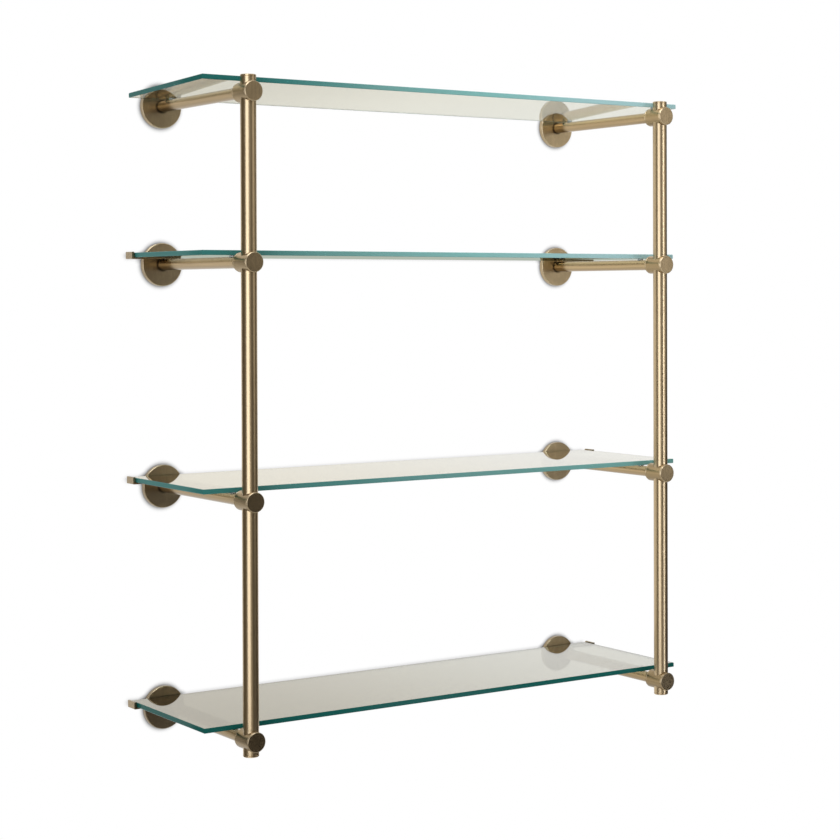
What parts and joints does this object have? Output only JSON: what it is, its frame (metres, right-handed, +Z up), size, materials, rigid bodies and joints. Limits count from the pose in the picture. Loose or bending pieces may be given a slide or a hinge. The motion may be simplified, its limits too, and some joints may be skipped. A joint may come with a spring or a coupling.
{
  "type": "wall shelf",
  "caption": "Open wall shelf of clear glass plates on round brass arms, with vertical posts at the front corners and round wall flanges.",
  "frame": {"origin": "on the face of the wall, midway between the two sides, at the height of the bottom arms' axes", "axes": "+Z up, +Y into the wall, so the shelf stands out towards -Y, and +X to the right as seen from the room"},
  "size_m": [0.979, 0.335, 1.095],
  "materials": {
    "brass": "satin antique brass, fine brushing",
    "bronzed_brass": "brushed, slightly darker brass",
    "bright_brass": "polished brass",
    "zinc_steel": "zinc plated",
    "clear_glass": "clear float glass, ground edges",
    "clear_pad": "clear soft plastic"
  },
  "bodies": {
    "frame": {"left_post": "brass", "right_post": "brass", "top_left_post_cap": "bright_brass", "top_right_post_cap": "bright_brass", "bottom_left_post_cap": "bright_brass", "bottom_right_post_cap": "bright_brass", "bottom_left_fitting": "bronzed_brass", "bottom_right_fitting": "bronzed_brass", "lower_left_fitting": "bronzed_brass", "lower_right_fitting": "bronzed_brass", "upper_left_fitting": "bronzed_brass", "upper_right_fitting": "bronzed_brass", "top_left_fitting": "bronzed_brass", "top_right_fitting": "bronzed_brass", "bottom_left_arm": "brass", "bottom_right_arm": "brass", "lower_left_arm": "brass", "lower_right_arm": "brass", "upper_left_arm": "brass", "upper_right_arm": "brass", "top_left_arm": "brass", "top_right_arm": "brass", "bottom_left_flange": "bronzed_brass", "bottom_right_flange": "bronzed_brass", "lower_left_flange": "bronzed_brass", "lower_right_flange": "bronzed_brass", "upper_left_flange": "bronzed_brass", "upper_right_flange": "bronzed_brass", "top_left_flange": "bronzed_brass", "top_right_flange": "bronzed_brass", "bottom_left_wall_plate": "zinc_steel", "bottom_right_wall_plate": "zinc_steel", "lower_left_wall_plate": "zinc_steel", "lower_right_wall_plate": "zinc_steel", "upper_left_wall_plate": "zinc_steel", "upper_right_wall_plate": "zinc_steel", "top_left_wall_plate": "zinc_steel", "top_right_wall_plate": "zinc_steel", "bottom_left_clip": "bright_brass", "bottom_right_clip": "bright_brass", "lower_left_clip": "bright_brass", "lower_right_clip": "bright_brass", "upper_left_clip": "bright_brass", "upper_right_clip": "bright_brass", "wall_studs": "zinc_steel", "arm_studs": "zinc_steel", "clip_screws": "zinc_steel", "front_pads": "clear_pad", "top_rear_pads": "clear_pad", "crown_pads": "clear_pad"},
    "bottom_shelf": {"bottom_glass": "clear_glass"},
    "lower_shelf": {"lower_glass": "clear_glass"},
    "upper_shelf": {"upper_glass": "clear_glass"},
    "top_shelf": {"top_glass": "clear_glass"}
  },
  "joints": [
    {"name": "bottom_shelf_lift", "type": "slide", "parent": "frame", "child": "bottom_shelf", "axis": [0, 0, 1], "range_m": [0, 0.03]},
    {"name": "lower_shelf_lift", "type": "slide", "parent": "frame", "child": "lower_shelf", "axis": [0, 0, 1], "range_m": [0, 0.03]},
    {"name": "upper_shelf_lift", "type": "slide", "parent": "frame", "child": "upper_shelf", "axis": [0, 0, 1], "range_m": [0, 0.03]},
    {"name": "top_shelf_lift", "type": "slide", "parent": "frame", "child": "top_shelf", "axis": [0, 0, 1], "range_m": [0, 0.03]}
  ]
}
